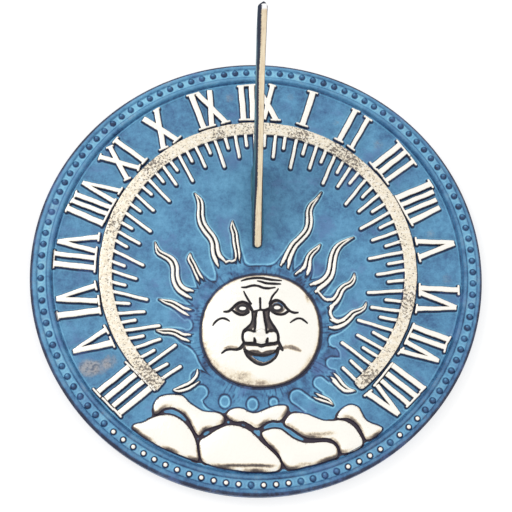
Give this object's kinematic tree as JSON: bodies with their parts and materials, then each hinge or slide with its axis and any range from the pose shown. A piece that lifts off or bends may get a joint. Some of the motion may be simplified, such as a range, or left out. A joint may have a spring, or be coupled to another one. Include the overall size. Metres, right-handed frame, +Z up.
{
  "type": "horizontal sundial",
  "caption": "Round cast brass dial plate with a raised sun face, clouds, hour ring and Roman numerals, and a triangular gnomon screwed on from beneath.",
  "frame": {"origin": "middle of the flat underside of the dial plate, on the surface that the dial stands on", "axes": "+Z up out of the dial; +Y along the noon line, from the foot of the gnomon towards its tip; +X to the right of a viewer who stands at the sun's side and looks along +Y"},
  "size_m": [0.254, 0.254, 0.1001],
  "materials": {
    "dial_plate": "blue patina with polished high spots",
    "gnomon": "dark patina with a polished style",
    "gnomon_screws": "plain turned brass"
  },
  "bodies": {
    "root": {"dial_plate": "dial_plate", "gnomon": "gnomon", "gnomon_screws": "gnomon_screws"}
  },
  "joints": []
}
